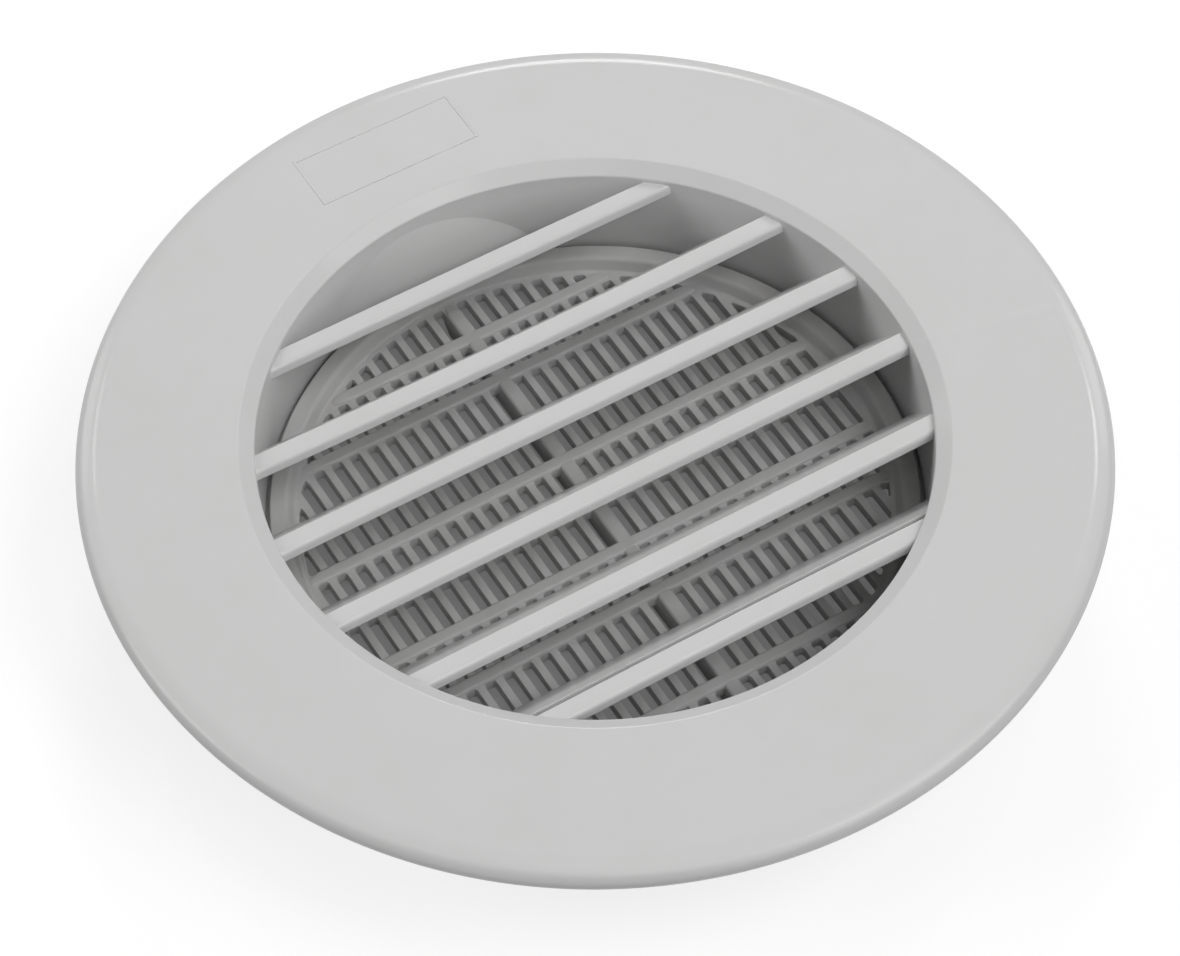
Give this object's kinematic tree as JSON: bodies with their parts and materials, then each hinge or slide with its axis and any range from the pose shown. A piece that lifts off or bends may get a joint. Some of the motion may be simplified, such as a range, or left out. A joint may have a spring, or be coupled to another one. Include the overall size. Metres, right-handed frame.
{
  "type": "round vent cover",
  "caption": "Round louvred vent cover: flat bevelled flange, slanted slats across the opening, a slotted insect screen behind them and a plain spigot for a duct or wall hole.",
  "frame": {"origin": "on the spigot's axis, in the plane of the flange's rear edge that meets the wall", "axes": "+Z out of the face, away from the wall; +Y up when installed, so that the slats shed water; +X along the slats"},
  "size_m": [0.15, 0.15, 0.0257],
  "materials": {
    "grille_plastic": "satin, fine moulded",
    "screen_plastic": "satin, fine moulded"
  },
  "bodies": {
    "root": {"grille": "grille_plastic", "insect_screen": "screen_plastic"}
  },
  "joints": []
}
